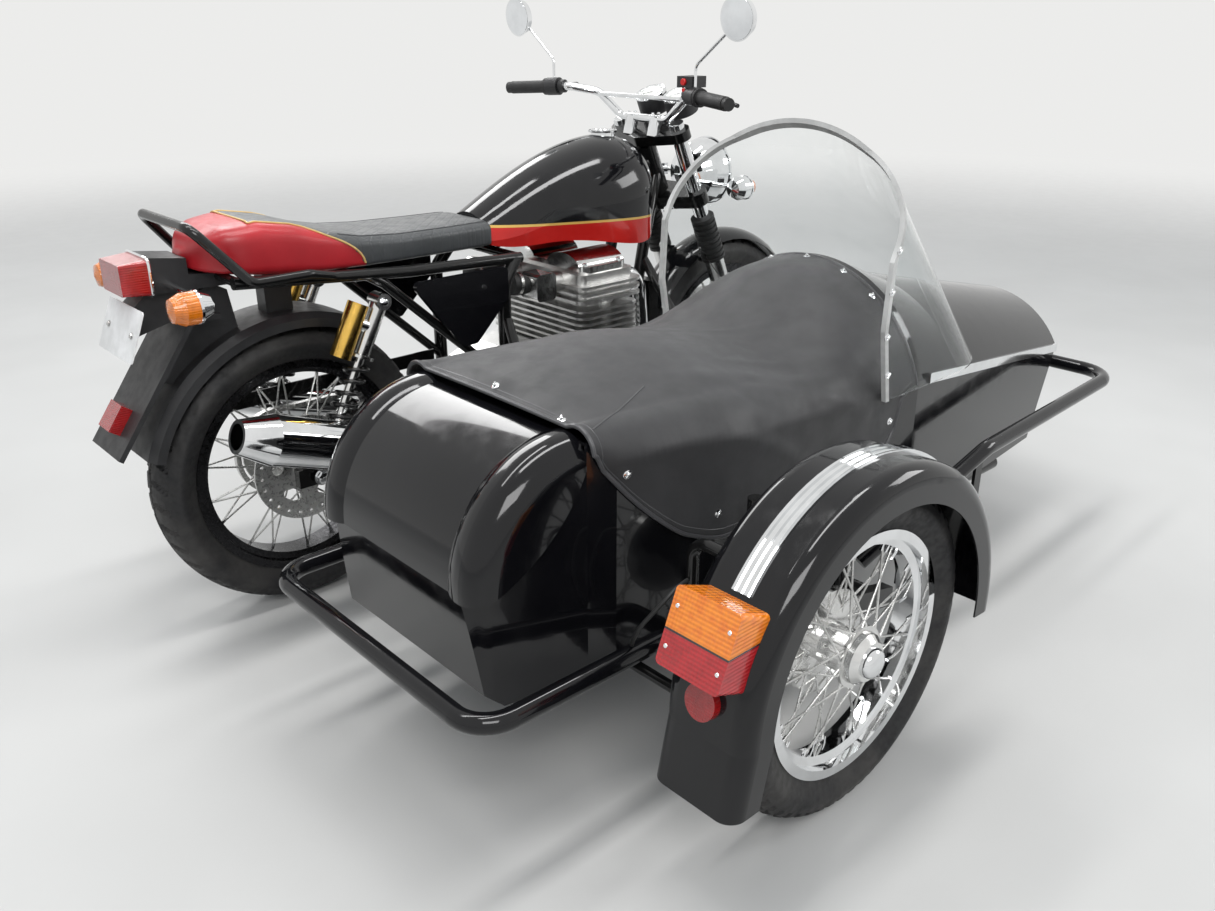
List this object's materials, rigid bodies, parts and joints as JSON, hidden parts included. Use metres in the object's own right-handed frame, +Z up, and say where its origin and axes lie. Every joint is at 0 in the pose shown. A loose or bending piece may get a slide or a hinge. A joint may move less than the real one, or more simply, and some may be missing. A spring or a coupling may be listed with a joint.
{
  "type": "sidecar motorcycle",
  "caption": "Retro road motorcycle with a covered single-place sidecar on its right, wire wheels, tube bumpers and a raked clear screen.",
  "frame": {"origin": "middle of the outfit's bounding box on the ground", "axes": "+X forward, +Y to the rider's left, +Z up; the sidecar is on the right"},
  "size_m": [2.167, 1.802, 1.2878],
  "materials": {
    "black": "gloss black paint",
    "red_black": "gloss black over red paint",
    "chrome": "polished chrome",
    "alloy": "polished alloy",
    "cast": "fine cast alloy",
    "steel": "ground steel",
    "tyre": "tyre rubber",
    "rubber": "moulded rubber",
    "plastic": "satin black plastic",
    "white": "blank white plate",
    "red_lens": "clear red plastic",
    "amber_lens": "clear amber plastic",
    "vinyl": "stitched vinyl",
    "cover": "charcoal vinyl cloth",
    "clear": "clear acrylic",
    "trim": "pale grey edge trim"
  },
  "bodies": {
    "chassis": {"main_frame": "black", "engine_block": "cast", "engine_side_covers": "alloy", "cylinders": "cast", "rocker_covers": "alloy", "throttle_bodies": "plastic", "exhaust": "chrome", "oil_cooler": "black", "fuel_tank": "red_black", "fuel_cap": "chrome", "saddle": "vinyl", "side_panels": "black", "grab_rail": "chrome", "rear_mudguard": "plastic", "rear_lamps": "red_lens", "rear_indicators": "chrome", "number_plate": "white", "swingarm": "black", "shock_bodies": "alloy", "shock_springs": "black", "drive_chain": "steel", "rear_brake_caliper": "black", "foot_pegs": "rubber", "sidecar_floor": "black", "sidecar_tub": "black", "sidecar_bonnet": "black", "chrome_strips": "chrome", "tonneau": "cover", "windscreen": "clear", "screen_trim": "trim", "sidecar_chassis": "black", "bumper_bars": "black", "wheel_arm": "black", "sidecar_mudguard": "black", "sidecar_lamps": "red_lens", "marker_lamp": "amber_lens", "coupling_struts": "black", "lamp_wire": "rubber"},
    "fork": {"fork_legs": "alloy", "fork_yokes": "cast", "fork_gaiters": "rubber", "front_mudguard": "black", "headlamp": "chrome", "clocks": "chrome", "handlebar": "chrome", "grips": "rubber", "bar_controls": "plastic", "mirrors": "chrome", "front_indicators": "chrome", "front_brake_caliper": "black"},
    "front_wheel_set": {"front_wheel": "alloy", "front_tyre": "tyre", "front_disc": "steel"},
    "rear_wheel_set": {"rear_wheel": "alloy", "rear_tyre": "tyre", "rear_disc": "steel"},
    "sidecar_wheel_set": {"sidecar_wheel": "alloy", "sidecar_tyre": "tyre"},
    "stand": {"side_stand": "black"}
  },
  "joints": [
    {"name": "steering", "type": "hinge", "parent": "chassis", "child": "fork", "pos_m": [0.4271, 0.451, 0.86], "axis": [-0.4067, 0, 0.9135], "range_deg": [-36, 36]},
    {"name": "front_wheel_spin", "type": "hinge", "parent": "fork", "child": "front_wheel_set", "pos_m": [0.704, 0.451, 0.3185], "axis": [0, 1, 0], "continuous": true},
    {"name": "rear_wheel_spin", "type": "hinge", "parent": "chassis", "child": "rear_wheel_set", "pos_m": [-0.694, 0.451, 0.3195], "axis": [0, 1, 0], "continuous": true},
    {"name": "sidecar_wheel_spin", "type": "hinge", "parent": "chassis", "child": "sidecar_wheel_set", "pos_m": [-0.38, -0.819, 0.293], "axis": [0, 1, 0], "continuous": true},
    {"name": "side_stand_swing", "type": "hinge", "parent": "chassis", "child": "stand", "pos_m": [-0.104, 0.593, 0.208], "axis": [0, -1, 0], "range_deg": [0, 100]}
  ]
}
